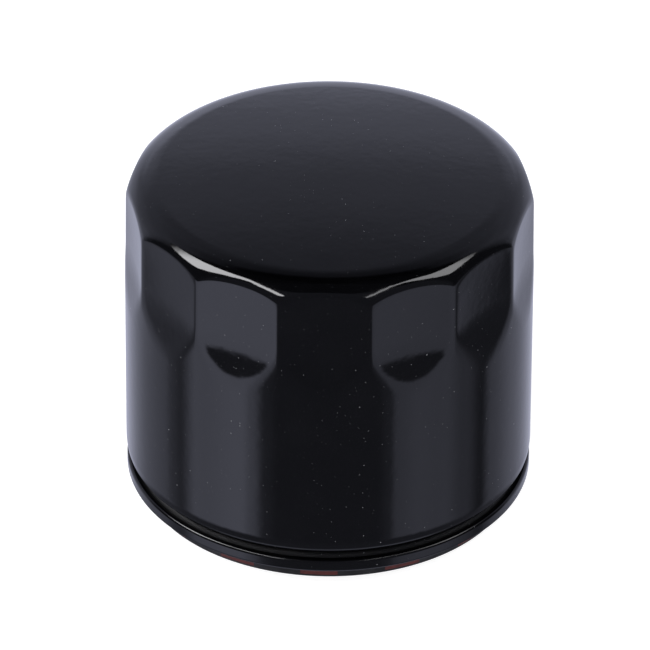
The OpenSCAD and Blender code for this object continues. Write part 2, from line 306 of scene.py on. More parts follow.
def can_form(r, z, phi):
    """Signed distance to the canister with its flats."""
    pitch = 2 * math.pi / FLATS
    psi = (phi + pitch / 2) % pitch - pitch / 2
    cut = smooth_max(flat_cut(r, z, psi - pitch), flat_cut(r, z, psi + pitch), 1e-6)
    cut = smooth_max(cut, flat_cut(r, z, psi), CORNER_BLEND)
    rise = np.clip((z - FLAT_LOW_Z - BLEND_START) / BLEND_RUN, 0, 1)
    blend = SHELF_BLEND + (TOP_BLEND - SHELF_BLEND) * rise
    return smooth_max(round_form(r, z), cut, blend)


def settle(base, normal, angles, inset):
    """Move outline points along their normals onto the canister's form, for each angle."""
    phi = np.repeat(angles[None, :], len(base), 0)
    low = np.full(phi.shape, REACH_IN)
    high = np.full(phi.shape, REACH_OUT)
    for _ in range(40):
        mid = (low + high) / 2
        r = base[:, :1] + normal[:, :1] * mid
        z = base[:, 1:] + normal[:, 1:] * mid
        outside = can_form(np.abs(r), z, phi) + inset > 0
        high = np.where(outside, mid, high)
        low = np.where(outside, low, mid)
    return base[:, :1] + normal[:, :1] * low, base[:, 1:] + normal[:, 1:] * low


def upper_path():
    """Outline of the round form from the dome's top to the skirt, with its normals."""
    wall_step = 0.35
    arcs, normals = [], []
    for centre_r, centre_z, radius, start, end, steps in (
        (0.0, DOME_CENTRE, DOME_R, 0.0, DOME_EDGE, 29),
        (CROWN_R, CROWN_Z, CROWN_ROUND, DOME_EDGE, CROWN_EDGE, 14),
        (SHOULDER_R, SHOULDER_Z, SHOULDER_ROUND, CROWN_EDGE, math.pi / 2, 44),
    ):
        t = np.linspace(start, end, steps + 1)[1:]
        out = np.stack([np.sin(t), np.cos(t)], -1)
        arcs.append(np.array([centre_r, centre_z]) + radius * out)
        normals.append(out)
    # close rows down to just below the shelves, and wide ones from there
    shelf_end = FLAT_LOW_Z - SHELF_H - 5
    z = np.concatenate([
        np.arange(SHOULDER_Z - wall_step, shelf_end, -wall_step),
        np.linspace(shelf_end, EASE_Z + 0.3, 12),
    ])
    wall = np.stack([np.full(len(z), BODY_R), z], -1)
    wall_n = np.stack([np.ones(len(z)), np.zeros(len(z))], -1)
    return np.concatenate([*arcs, wall]), np.concatenate([*normals, wall_n])


def flat_angles(per_flat):
    """Angles round the axis, closer together near the corners between flats."""
    t = np.linspace(-1, 1, per_flat, endpoint=False)
    local = (0.45 * t + 0.55 * np.sin(t * math.pi / 2)) * math.pi / FLATS
    return np.concatenate([local + k * 2 * math.pi / FLATS for k in range(FLATS)])


def build_can():
    angles = flat_angles(40)
    base, normal = upper_path()
    r_out, z_out = settle(base, normal, angles, 0.0)
    r_in, z_in = settle(base[::-1], normal[::-1], angles, CAN_T)

    # skirt, neck and hook: the middle line of one bent sheet
    mid = CAN_T / 2
    ease = arc((BODY_R - SKIRT_EASE, EASE_Z), SKIRT_EASE - mid, 0, -SKIRT_EASE_ANGLE, 8)
    turn = math.radians(SKIRT_EASE_ANGLE)
    inward = SKIRT_EASE - SKIRT_ROUND
    centre = (BODY_R - SKIRT_EASE + inward * math.cos(turn), EASE_Z - inward * math.sin(turn))
    bend = arc(centre, SKIRT_ROUND - mid, -SKIRT_EASE_ANGLE, -84, 12)[1:]
    path = [tuple(ease[0])]
    path += [(r, z, NO_ROUND) for r, z in (*ease[1:], *bend)]
    path += [
        (NECK_R - mid, centre[1] - SKIRT_ROUND + mid, 0.36),
        (NECK_R - mid, FOLD_Z + mid, 0.3),
        (HOOK_R - mid, FOLD_Z + mid, 0.3),
        (HOOK_R - mid, SEAM_TOP_Z - LID_T - SKIN - mid),
    ]
    line = rounded(path, 0.3, closed=False)
    step, side = sides_of(line, mid)
    outer, inner = line + side, (line - side)[::-1]
    tip = [line[-1] + step[-1] * mid * 0.9]
    lower = np.concatenate([outer, tip, inner])
    count = len(angles)
    r = np.concatenate([r_out, np.repeat(lower[:, :1], count, 1), r_in])
    z = np.concatenate([z_out, np.repeat(lower[:, 1:], count, 1), z_in])
    phi = np.repeat(angles[None, :], len(r), 0)
    verts = np.stack([r * np.sin(phi), -r * np.cos(phi), z], -1).reshape(-1, 3)
    faces = grid_faces(len(r), count, False)
    # close the sheet at the two poles of the dome
    top = len(verts)
    verts = np.concatenate([verts, [[0, 0, TOP_Z], [0, 0, TOP_Z - CAN_T]]])
    last = (len(r) - 1) * count
    faces += [[top, k, (k + 1) % count] for k in range(count)]
    faces += [[top + 1, last + (k + 1) % count, last + k] for k in range(count)]
    return make_object("canister", verts, faces)


# ---------------------------------------------------------------- seaming lid

WELDS = 8
WELD_RING_R = 25.4
LID_HOLE_R = 22.5
# the gasket sits between the groove's outer wall and a pressed bead
GASKET_W = 4.7
GASKET_GAP = 0.18
BEAD_GAP = 0.15
BEAD_W = 2.3
DENT_R = 1.9
DENT_DEPTH = 0.14


def build_lid():
    mid = LID_T / 2
    flat_z = LID_TOP_Z - mid
    bead_out = GROOVE_R - GASKET_GAP - GASKET_W - BEAD_GAP - mid
    bead_in = bead_out - BEAD_W + LID_T
    path = [
        (LID_HOLE_R + mid, flat_z),
        (bead_in, flat_z),
        (bead_in, BEAD_Z + mid),
        (bead_out, BEAD_Z + mid),
        (bead_out, flat_z),
        (CHUCK_R - mid, flat_z),
        (CHUCK_R - mid, SEAM_Z + mid, 0.32),
        (SEAM_R - mid, SEAM_Z + mid, 0.30),
        (SEAM_R - mid, SEAM_TOP_Z - mid, 0.30),
        (COVER_R - mid, SEAM_TOP_Z - mid, 0.24),
        (COVER_R - mid, FOLD_Z + CAN_T + SKIN + mid),
    ]
    outline = dense(sheet(path, LID_T, 0.42), 0.5)

    def dents(r, z, phi):
        """Shallow round dents in the lower face, one at each spot weld."""
        weld = (phi + math.pi / WELDS) % (2 * math.pi / WELDS) - math.pi / WELDS
        gap = np.hypot(r * np.cos(weld) - WELD_RING_R, r * np.sin(weld))
        dent = DENT_DEPTH / (1 + np.exp((gap - DENT_R) / 0.12))
        return r, z + np.where(z < flat_z, dent, 0.0) * (r < bead_in - 0.5)

    return lathe("seaming_lid_rolled", outline, even_angles(480) + math.pi / 2, dents)


def build_welds():
    """Dished weld nuggets in the lid's dents, each with a raised rim."""
    verts, faces = [], []
    ring = even_angles(28)
    outline = [
        (1.75, 0.5), (1.75, 0.10), (1.72, -0.02), (1.55, -0.07), (1.35, -0.03), (0.9, 0.06), (0.4, 0.09),
    ]
    base_z = LID_TOP_Z - LID_T
    for k in range(WELDS):
        a = math.pi / 2 + k * 2 * math.pi / WELDS
        cx, cy = WELD_RING_R * math.sin(a), -WELD_RING_R * math.cos(a)
        start = len(verts)
        for r, z in outline:
            verts += [[cx + r * math.cos(t), cy + r * math.sin(t), base_z + z] for t in ring]
        n = len(ring)
        for i in range(len(outline) - 1):
            faces += [[start + i * n + j, start + i * n + (j + 1) % n,
                       start + (i + 1) * n + (j + 1) % n, start + (i + 1) * n + j] for j in range(n)]
        faces.append([start + j for j in range(n)][::-1])
        faces.append([start + (len(outline) - 1) * n + j for j in range(n)])
    return make_object("weld_nuggets", verts, faces)


# ---------------------------------------------------------------- gasket

MARKS = 14
MARK_LOW = 0.55
MARK_HIGH = 2.35
MARK_HALF = math.radians(5.6)
MARK_START = math.radians(-1.3)
INK_LIFT = 0.03
INK_BEVEL = 0.04


def build_gasket():
    inner = GASKET_R - GASKET_W
    outline = rounded([(inner, 0), (GASKET_R, 0), (GASKET_R, GASKET_H), (inner, GASKET_H)], 0.4, 7)
    return lathe("gasket_ring", dense(outline, 0.6), even_angles(360))


def build_gasket_marks():
    """Short printed dashes round the gasket's outer wall."""
    verts, faces = [], []
    steps = 14
    root, crest = GASKET_R - 0.05, GASKET_R + INK_LIFT
    section = [
        (root, MARK_LOW),
        (crest, MARK_LOW + INK_BEVEL),
        (crest, MARK_HIGH - INK_BEVEL),
        (root, MARK_HIGH),
    ]
    for k in range(MARKS):
        mid = MARK_START + k * 2 * math.pi / MARKS
        start = len(verts)
        for i in range(steps + 1):
            a = mid - MARK_HALF + 2 * MARK_HALF * i / steps
            verts += [[r * math.sin(a), -r * math.cos(a), z] for r, z in section]
        for i in range(steps):
            for j in range(4):
                a, b = start + i * 4 + j, start + i * 4 + (j + 1) % 4
                faces.append([a, b, b + 4, a + 4])
        faces.append([start + j for j in (3, 2, 1, 0)])
        faces.append([start + steps * 4 + j for j in range(4)])
    return make_object("gasket_marks", verts, faces, smooth=False)


# ---------------------------------------------------------------- base plate

PLATE_T = 2.5
NECK_OUT_R = 11.6
THREAD_R = 8.67
THREAD_PITCH = 25.4 / 16
THREAD_DEPTH = 0.6 * THREAD_PITCH
THREAD_LEAD = 0.95
INLETS = 8
INLET_RING_R = 17.3
INLET_R = 3.0


def build_base_plate():
    top_z = PLATE_Z + PLATE_T
    outline = rounded([
        (THREAD_R, PLATE_Z, NO_ROUND),
        (PLATE_R, PLATE_Z, 0.25),
        (PLATE_R, top_z, 0.25),
        (NECK_OUT_R, top_z, 0.9),
        (NECK_OUT_R, NECK_TOP_Z, 0.45),
        (THREAD_R, NECK_TOP_Z, NO_ROUND),
    ], 0.3)
    steps = 150
    bore = np.stack([np.full(steps + 1, THREAD_R), np.linspace(NECK_TOP_Z, PLATE_Z, steps + 1)], -1)
    outline = np.concatenate([outline, bore[1:-1]])

    def thread(r, z, phi):
        """A flat-rooted helical thread in the bore, with a chamfer at both ends."""
        in_bore = r < THREAD_R + 0.01
        turn = ((z - PLATE_Z) / THREAD_PITCH - phi / (2 * math.pi)) % 1.0
        wave = np.clip(1.0 - np.abs(turn - 0.5) * 2.5, 0.0, 0.82)
        entry = np.minimum(z - PLATE_Z, NECK_TOP_Z - z)
        lead = np.clip((THREAD_LEAD - entry) / THREAD_LEAD, 0, 1) * THREAD_LEAD
        cut = np.maximum(wave * THREAD_DEPTH, lead)
        return np.where(in_bore, r + cut, r), z

    plate = lathe("threaded_plate", outline, even_angles(192), thread)
    for k in range(INLETS):
        a = math.pi / 2 + k * 2 * math.pi / INLETS
        cutter = hole_cutter(INLET_R, PLATE_Z, top_z)
        cutter.location = (INLET_RING_R * math.sin(a) * MM, -INLET_RING_R * math.cos(a) * MM, 0)
        cut = plate.modifiers.new("inlet", "BOOLEAN")
        cut.operation = "DIFFERENCE"
        cut.solver = "EXACT"
        cut.object = cutter
        bake(plate)
        bpy.data.objects.remove(cutter)
    sharpen(plate, 32)
    return plate


def hole_cutter(radius, low, high):
    """A drill with a small bevel at both faces."""
    ring = even_angles(40)
    bevel = 0.22
    rows = [(radius + bevel + 1, low - 1), (radius + bevel, low), (radius, low + bevel),
            (radius, high - bevel), (radius + bevel, high), (radius + bevel + 1, high + 1)]
    verts = [[r * math.cos(t), r * math.sin(t), z] for r, z in rows for t in ring]
    n = len(ring)
    faces = [[i * n + j, i * n + (j + 1) % n, (i + 1) * n + (j + 1) % n, (i + 1) * n + j]
             for i in range(len(rows) - 1) for j in range(n)]
    faces.append(list(range(n))[::-1])
    faces.append([(len(rows) - 1) * n + j for j in range(n)])
    return make_object("drill", verts, faces)


def bake(obj):
    """Apply an object's modifiers to its mesh."""
    bpy.context.view_layer.update()
    graph = bpy.context.evaluated_depsgraph_get()
    mesh = bpy.data.meshes.new_from_object(obj.evaluated_get(graph))
    obj.modifiers.clear()
    old = obj.data
    obj.data = mesh
    bpy.data.meshes.remove(old)


def sharpen(obj, degrees):
    """Shade smooth, with edges sharper than the angle kept crisp."""
    bm = bmesh.new()
    bm.from_mesh(obj.data)
    for face in bm.faces:
        face.smooth = True
    for edge in bm.edges:
        edge.smooth = len(edge.link_faces) == 2 and edge.calc_face_angle() < math.radians(degrees)
    bm.to_mesh(obj.data)
    bm.free()


# ---------------------------------------------------------------- drainback valve and spring

COLLAR_R = 13.3
LEDGE_R = 15.6
LEDGE_Z = PLATE_Z + PLATE_T + 3.1
LIP_W = 2.5
LIP_T = 0.9


def build_drainback_valve():
    """A rubber skirt that hangs from its collar on the plate's neck to a flat lip."""
    inner = NECK_OUT_R + 0.05
    outline = rounded([
        (inner, LEDGE_Z - 0.6, 0.2),
        (VALVE_R - LIP_W, VALVE_Z, 2.0),
        (VALVE_R, VALVE_Z, 0.3),
        (VALVE_R, VALVE_Z + LIP_T, 0.4),
        (VALVE_R - LIP_W, VALVE_Z + LIP_T, 2.0),
        (LEDGE_R, LEDGE_Z + 0.4, 0.2),
        (LEDGE_R, LEDGE_Z + 1.2, 0.3),
        (COLLAR_R, LEDGE_Z + 1.2, 0.12),
        (COLLAR_R, COLLAR_TOP_Z, 0.35),
        (inner, COLLAR_TOP_Z, 0.35),
    ], 0.3)
    return lathe("drainback_membrane", dense(outline, 0.7), even_angles(160))


WIRE_R = 0.45
TURNS = 6
# turns at each end that lie flat
CLOSED_TURNS = 0.8


def build_bypass_spring():
    """Round wire on the same helix as the CAD coil, with closed end turns."""
    coil = SPRING_R - WIRE_R
    low, high = SPRING_Z + WIRE_R, SPRING_TOP_Z - WIRE_R
    rings, sides = TURNS * 48, 14
    verts = []
    for i in range(rings + 1):
        u = i / rings
        a = 2 * math.pi * TURNS * u
        climb = min(1.0, max(0.0, (u * TURNS - CLOSED_TURNS) / (TURNS - 2 * CLOSED_TURNS)))
        z = low + (high - low) * climb
        for k in range(sides):
            s = 2 * math.pi * k / sides
            r = coil + WIRE_R * math.cos(s)
            verts.append([r * math.cos(a), r * math.sin(a), z + WIRE_R * math.sin(s)])
    faces = [[i * sides + k, i * sides + (k + 1) % sides, (i + 1) * sides + (k + 1) % sides,
              (i + 1) * sides + k] for i in range(rings) for k in range(sides)]
    faces.append(list(range(sides))[::-1])
    faces.append([rings * sides + k for k in range(sides)])
    return make_object("bypass_coil", verts, faces)


# ---------------------------------------------------------------- materials

class Shader:
    """A small helper that adds and links nodes of one material."""

    def __init__(self, name):
        self.material = bpy.data.materials.new(name)
        self.material.use_nodes = True
        self.tree = self.material.node_tree
        self.tree.nodes.clear()
        self.out = self.add("ShaderNodeOutputMaterial")
        self.bsdf = self.add("ShaderNodeBsdfPrincipled")
        self.link(self.bsdf, "BSDF", self.out, "Surface")

    def add(self, kind, **settings):
        node = self.tree.nodes.new(kind)
        for key, value in settings.items():
            setattr(node, key, value)
        return node

    def link(self, a, out, b, into):
        self.tree.links.new(a.outputs[out], b.inputs[into])

    def coords(self):
        """Object coordinates in millimetres."""
        place = self.add("ShaderNodeTexCoord")
        scale = self.add("ShaderNodeVectorMath", operation="SCALE")
        self.link(place, "Object", scale, 0)
        scale.inputs["Scale"].default_value = 1000.0
        return scale

    def noise(self, coords, size, detail=2.0, rough=0.5):
        """Noise with features about size millimetres across."""
        node = self.add("ShaderNodeTexNoise")
        self.link(coords, 0, node, "Vector")
        node.inputs["Scale"].default_value = 1.0 / size
        node.inputs["Detail"].default_value = detail
        node.inputs["Roughness"].default_value = rough
        return node

    def spread(self, node, out, low, high, to_low, to_high):
        """Map a range of an output to another range, clamped."""
        m = self.add("ShaderNodeMapRange")
        self.link(node, out, m, "Value")
        for key, value in (("From Min", low), ("From Max", high), ("To Min", to_low), ("To Max", to_high)):
            m.inputs[key].default_value = value
        return m

    def math(self, operation, a, b):
        """A math node; each side is a number or a (node, output) pair."""
        m = self.add("ShaderNodeMath", operation=operation)
        for i, side in enumerate((a, b)):
            if isinstance(side, tuple):
                self.link(side[0], side[1], m, i)
            else:
                m.inputs[i].default_value = side
        return m

    def bump(self, height, out, distance, below=None):
        """A bump whose full height is distance millimetres, on top of another bump."""
        node = self.add("ShaderNodeBump")
        self.link(height, out, node, "Height")
        node.inputs["Distance"].default_value = distance * MM
        node.inputs["Strength"].default_value = 1.0
        if below:
            self.link(below, "Normal", node, "Normal")
        return node

    def mix_colour(self, factor, a, b):
        """The colour output of a mix; a and b are colours, or a colour output."""
        node = self.add("ShaderNodeMix", data_type="RGBA")
        self.link(factor, 0, node, "Factor")
        for key, value in (("A", a), ("B", b)):
            socket = next(s for s in node.inputs if s.name == key and s.type == "RGBA")
            if isinstance(value, tuple):
                socket.default_value = (*value, 1.0)
            else:
                self.tree.links.new(value, socket)
        return next(s for s in node.outputs if s.type == "RGBA")

    def base_colour(self, colour):
        self.tree.links.new(colour, self.bsdf.inputs["Base Color"])

    def set(self, **values):
        for key, value in values.items():
            self.bsdf.inputs[key.replace("_", " ")].default_value = value


DUST_CELL = 0.85
DUST_COLOUR = (0.55, 0.56, 0.58)
PAINT_COLOUR = (0.0010, 0.0010, 0.0013)
HAZE_COLOUR = (0.0020, 0.0020, 0.0024)
# the dull paint under the skirt fades out over this stretch of height
GROOVE_LOW_Z = SKIRT_Z - 1.4
GROOVE_TOP_Z = SKIRT_Z - 0.7


def black_paint(name, dust=1.0, rough=0.05, groove_rough=0.5):
    """Gloss black enamel: faint orange peel, fine dust specks and soft handling marks."""
    s = Shader(name)
    at = s.coords()
    s.set(IOR=1.5, Coat_Weight=0.0)
    s.bsdf.inputs["Specular IOR Level"].default_value = 0.5
    # dust: a few cells of a fine pattern hold one bright speck each
    axes = s.add("ShaderNodeSeparateXYZ")
    s.link(at, 0, axes, 0)
    cells = s.add("ShaderNodeTexVoronoi", feature="F1")
    s.link(at, 0, cells, "Vector")
    cells.inputs["Scale"].default_value = 1.0 / DUST_CELL
    pick = s.add("ShaderNodeSeparateColor")
    s.link(cells, "Color", pick, "Color")
    chosen = s.spread(pick, "Red", 0.45, 0.49, 0.0, 1.0)
    small = s.math("MULTIPLY_ADD", (pick, "Green"), 1.9)
    small.inputs[2].default_value = 0.8
    reach = s.math("MULTIPLY", (cells, "Distance"), (small, 0))
    spot = s.spread(reach, 0, 0.06, 0.13, 1.0, 0.0)
    patch = s.noise(at, 13.0, 3.0)
    where = s.spread(patch, "Fac", 0.44, 0.60, 0.12, 1.0)
    speck = s.math("MULTIPLY", (chosen, 0), (spot, 0))
    speck = s.math("MULTIPLY", (speck, 0), (where, 0))
    speck = s.math("MULTIPLY", (speck, 0), 0.75 * dust)
    # the dome is wiped cleaner than the wall
    dome = s.spread(axes, "Z", SHOULDER_Z, TOP_Z, 1.0, 0.45)
    speck = s.math("MULTIPLY", (speck, 0), (dome, 0))
    film = s.noise(at, 9.0, 5.0, 0.6)
    haze = s.spread(film, "Fac", 0.45, 0.75, 0.0, 1.0)
    base = s.mix_colour(haze, PAINT_COLOUR, HAZE_COLOUR)
    s.base_colour(s.mix_colour(speck, base, DUST_COLOUR))
    wear = s.noise(at, 5.0, 6.0, 0.65)
    gloss = s.spread(wear, "Fac", 0.35, 0.8, rough, rough + 0.05)
    total = s.math("ADD", (gloss, 0), (speck, 0))
    # thin, dull paint in the groove under the skirt
    groove = s.spread(axes, "Z", GROOVE_LOW_Z, GROOVE_TOP_Z, groove_rough, 0.0)
    total = s.math("ADD", (total, 0), (groove, 0))
    s.link(total, 0, s.bsdf, "Roughness")
    peel = s.noise(at, 1.6, 1.0)
    swell = s.noise(at, 7.0, 1.0)
    first = s.bump(swell, "Fac", 0.016)
    second = s.bump(peel, "Fac", 0.010, below=first)
    third = s.bump(speck, 0, 0.02, below=second)
    s.link(third, "Normal", s.bsdf, "Normal")
    return s.material


def metal(name, colour, rough):
    """Plated sheet: grain, blotches of tarnish and an uneven polish."""
    tarnish = 0.3
    s = Shader(name)
    at = s.coords()
    s.set(Metallic=1.0)
    blot = s.noise(at, 4.0, 6.0, 0.6)
    fade = s.spread(blot, "Fac", 0.35, 0.75, 0.0, 1.0)
    dark = tuple(c * (1 - tarnish) for c in colour)
    s.base_colour(s.mix_colour(fade, colour, dark))
    fine = s.noise(at, 0.32, 4.0, 0.7)
    gloss = s.spread(fine, "Fac", 0.3, 0.7, rough * 0.8, rough * 1.25)
    s.link(gloss, 0, s.bsdf, "Roughness")
    dent = s.bump(fine, "Fac", 0.006)
    soft = s.noise(at, 3.0, 2.0)
    wave = s.bump(soft, "Fac", 0.02, below=dent)
    s.link(wave, "Normal", s.bsdf, "Normal")
    return s.material


def rubber(name, colour, rough):
    """Moulded rubber: fine grain with a pale bloom in patches."""
    bloom = 0.02
    s = Shader(name)
    at = s.coords()
    s.set(IOR=1.5)
    patch = s.noise(at, 3.5, 5.0, 0.6)
    fade = s.spread(patch, "Fac", 0.4, 0.8, 0.0, 1.0)
    pale = tuple(c + bloom for c in colour)
    s.base_colour(s.mix_colour(fade, colour, pale))
    fine = s.noise(at, 0.35, 3.0, 0.6)
    gloss = s.spread(fine, "Fac", 0.3, 0.7, rough * 0.8, rough * 1.2)
    s.link(gloss, 0, s.bsdf, "Roughness")
    dent = s.bump(fine, "Fac", 0.015)
    s.link(dent, "Normal", s.bsdf, "Normal")
    return s.material


def plain_solid(name, colour, rough, grain, variation=0.15):
    """Paper, potting compound, nylon and ink: mottled colour with a fine surface."""
    s = Shader(name)
    at = s.coords()
    patch = s.noise(at, grain * 6, 5.0, 0.6)
    fade = s.spread(patch, "Fac", 0.35, 0.7, 0.0, 1.0)
    s.base_colour(s.mix_colour(fade, colour, tuple(c * (1 - variation) for c in colour)))
    fine = s.noise(at, grain, 3.0, 0.6)
    gloss = s.spread(fine, "Fac", 0.3, 0.7, rough * 0.85, rough * 1.15)
    s.link(gloss, 0, s.bsdf, "Roughness")
    dent = s.bump(fine, "Fac", 0.02)
    s.link(dent, "Normal", s.bsdf, "Normal")
    return s.material


def dress(obj, material):
    obj.data.materials.clear()
    obj.data.materials.append(material)


# ---------------------------------------------------------------- the pieces

paint = black_paint("gloss_black_enamel")
lid_paint = black_paint("lid_enamel", dust=0.5, rough=0.13, groove_rough=0.0)
plate_steel = metal("zinc_plated_steel", (0.62, 0.62, 0.60), 0.32)
tinned = metal("tinned_sheet", (0.72, 0.72, 0.72), 0.25)
spring_steel = metal("spring_steel", (0.55, 0.55, 0.57), 0.28)
gasket_rubber = rubber("nitrile_gasket", (0.012, 0.012, 0.013), 0.42)
valve_rubber = rubber("silicone_valve", (0.30, 0.035, 0.02), 0.45)
seal_rubber = rubber("nitrile_seal", (0.02, 0.02, 0.02), 0.5)
compound = plain_solid("seam_sealant", (0.55, 0.50, 0.38), 0.6, 0.3)
potting = plain_solid("potting_compound", (0.72, 0.66, 0.48), 0.45, 0.5)
paper = plain_solid("filter_paper", (0.72, 0.53, 0.24), 0.85, 0.18, 0.2)
nylon = plain_solid("moulded_nylon", (0.75, 0.72, 0.62), 0.38, 0.3, 0.08)
ink = plain_solid("gasket_ink", (0.15, 0.024, 0.021), 0.5, 0.25, 0.3)

for node, material in {
    "seam_compound": compound,
    "lower_end_cap": tinned,
    "upper_end_cap": tinned,
    "lower_adhesive": potting,
    "upper_adhesive": potting,
    "pleated_paper": paper,
    "pleat_clip": tinned,
    "centre_tube": tinned,
    "bypass_seat": tinned,
    "bypass_cage": tinned,
    "bypass_poppet": nylon,
    "bypass_seal": seal_rubber,
    "element_spring": spring_steel,
}.items():
    dress(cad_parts[node], material)


def place(piece, node, slot, material, body=ROOT):
    """Dress a new piece and put it in the place of a CAD node."""
    dress(piece, material)
    if node:
        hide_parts(node)
    if body:
        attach(piece, body)
    return piece


place(build_can(), "can", "black_paint", paint)
place(build_lid(), "seaming_lid", "lid_paint", lid_paint)
place(build_welds(), "spot_welds", "plate_steel", plate_steel)
place(build_gasket(), "gasket", "gasket_rubber", gasket_rubber)
place(build_gasket_marks(), None, "gasket_rubber", ink)
place(build_base_plate(), "base_plate", "plate_steel", plate_steel)

# the valve's collar sits on the plate's neck; the valve is kept out of the body and its placement is baked
# into its mesh
membrane = place(build_drainback_valve(), "drainback_valve", "valve_rubber", valve_rubber, None)
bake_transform(membrane)

# the spring's lower turn rests in the cage; the spring is kept out of the body and its placement is baked
# into its mesh
coil = place(build_bypass_spring(), "bypass_spring", "spring_steel", spring_steel, None)
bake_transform(coil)


# ---------------------------------------------------------------- floor, light and camera

CAMERA_AZIMUTH = 1.3
FLOOR_SIZE = 6.0
# just below the gasket, so that the two faces don't meet
FLOOR_Z = -0.05 * MM


def build_floor():
    """A bright, matt floor, clear from below, that the filter's gloss doesn't mirror."""
    corners = [(-1, -1), (1, -1), (1, 1), (-1, 1)]
    mesh = bpy.data.meshes.new("floor")
    mesh.from_pydata([(x * FLOOR_SIZE, y * FLOOR_SIZE, FLOOR_Z) for x, y in corners], [], [[0, 1, 2, 3]])
    floor = bpy.data.objects.new("floor", mesh)
    scene.collection.objects.link(floor)
    s = Shader("pale_floor")
    s.set(Base_Color=(0.40, 0.40, 0.40, 1.0), Roughness=0.9)
    s.set(Emission_Color=(1.0, 1.0, 1.0, 1.0), Emission_Strength=0.92)
    s.bsdf.inputs["Specular IOR Level"].default_value = 0.1
    # seen from below, the floor is clear, so that the mounting end shows
    face = s.add("ShaderNodeNewGeometry")
    clear = s.add("ShaderNodeBsdfTransparent")
    either = s.add("ShaderNodeMixShader")
    s.link(face, "Backfacing", either, 0)
    s.link(s.bsdf, "BSDF", either, 1)
    s.link(clear, 0, either, 2)
    s.link(either, 0, s.out, "Surface")
    dress(floor, s.material)
    floor.visible_glossy = False


PANEL_H = 1.4
# the panels' light fades in between these distances behind the axis, as parts of PANEL_H
PANEL_FADE = (0.50, 0.02)


def panel(name, corners, radiance):
    """An overhead light panel at PANEL_H above the shoulder.

    Corners are (right, towards the camera) in multiples of that height, and are cut
    three times over to round them.
    """
    for _ in range(3):
        ring = zip(corners, corners[1:] + corners[:1])
        corners = [(a[0] + (b[0] - a[0]) * t, a[1] + (b[1] - a[1]) * t)
                   for a, b in ring for t in (0.25, 0.75)]
    verts = [(u * PANEL_H, -v * PANEL_H, PANEL_H + SHOULDER_Z * MM) for u, v in corners]
    mesh = bpy.data.meshes.new(name)
    mesh.from_pydata(verts, [], [list(range(len(verts)))])
    obj = bpy.data.objects.new(name, mesh)
    scene.collection.objects.link(obj)
    material = bpy.data.materials.new(name)
    material.use_nodes = True
    tree = material.node_tree
    tree.nodes.clear()
    glow = tree.nodes.new("ShaderNodeEmission")
    glow.inputs["Color"].default_value = (0.97, 0.97, 1.0, 1.0)
    place = tree.nodes.new("ShaderNodeTexCoord")
    split = tree.nodes.new("ShaderNodeSeparateXYZ")
    fade = tree.nodes.new("ShaderNodeMapRange")
    fade.interpolation_type = "SMOOTHSTEP"
    fade.inputs["From Min"].default_value = PANEL_FADE[0] * PANEL_H
    fade.inputs["From Max"].default_value = PANEL_FADE[1] * PANEL_H
    fade.inputs["To Max"].default_value = radiance
    tree.links.new(place.outputs["Object"], split.inputs[0])
    tree.links.new(split.outputs["Y"], fade.inputs["Value"])
    tree.links.new(fade.outputs[0], glow.inputs["Strength"])
    out = tree.nodes.new("ShaderNodeOutputMaterial")
    tree.links.new(glow.outputs[0], out.inputs["Surface"])
    dress(obj, material)
    obj.visible_camera = False


# outlines of the two overhead panels, in multiples of their height: each is a strip that
# runs forward from a wider panel at the side
LEFT_PANEL = [
    (-0.72, 1.80), (-0.90, 1.90), (-0.68, 0.62), (-0.64, 0.33), (-1.60, 0.38), (-1.84, 0.34),
    (-1.60, -0.20), (-1.45, -0.50), (-1.10, -0.50), (-0.85, -0.08), (-0.57, 0.20), (-0.55, 0.40),
]
RIGHT_PANEL = [
    (0.65, 1.75), (0.74, 1.85), (0.61, 0.85), (0.56, 0.60), (0.55, 0.44), (0.61, 0.33),
    (1.20, 0.42), (1.50, 0.42), (1.32, 0.11), (1.17, -0.08), (1.10, -0.28), (0.98, -0.42),
    (0.84, -0.28), (0.80, -0.05), (0.70, 0.14), (0.57, 0.18), (0.50, 0.40), (0.50, 0.62),
]

# brightness of the studio below the horizon, by angle in degrees round from the camera's side
LOW_RAMP = [
    (-180, 0.60), (-157, 0.72), (-122, 0.46), (-107, 0.44), (-99, 0.27), (-93, 0.20),
    (-80, 0.82), (-50, 1.16), (-44, 0.84), (-36, 0.22), (-28, 0.14), (28, 0.14), (35, 0.22),
    (40, 0.56), (52, 0.64), (68, 0.56), (84, 0.32), (97, 0.10), (106, 0.38), (128, 0.50),
    (158, 0.66), (180, 0.58),
]
# and above it, by height in degrees: the backdrop, its far sides, and the dark front
BACK_RAMP = [(-20, 1.0), (20, 1.2), (27, 0.64), (33, 0.36), (41, 0.20), (55, 0.08), (68, 0.0)]
SIDE_RAMP = [(-20, 0.70), (5, 0.62), (18, 0.46), (35, 0.36), (48, 0.25), (58, 0.12), (68, 0.0)]
FRONT_RAMP = [(-20, 0.13), (44, 0.14), (50, 0.03)]
# the front's upper part dims by this share towards the sides
FRONT_DIM = 0.6
# brightness of the ring of floor well below the horizon, and of the floor straight below
NEAR_FLOOR = 0.15
FLOOR_BELOW = 0.45
TINT = (0.92, 0.95, 1.20)


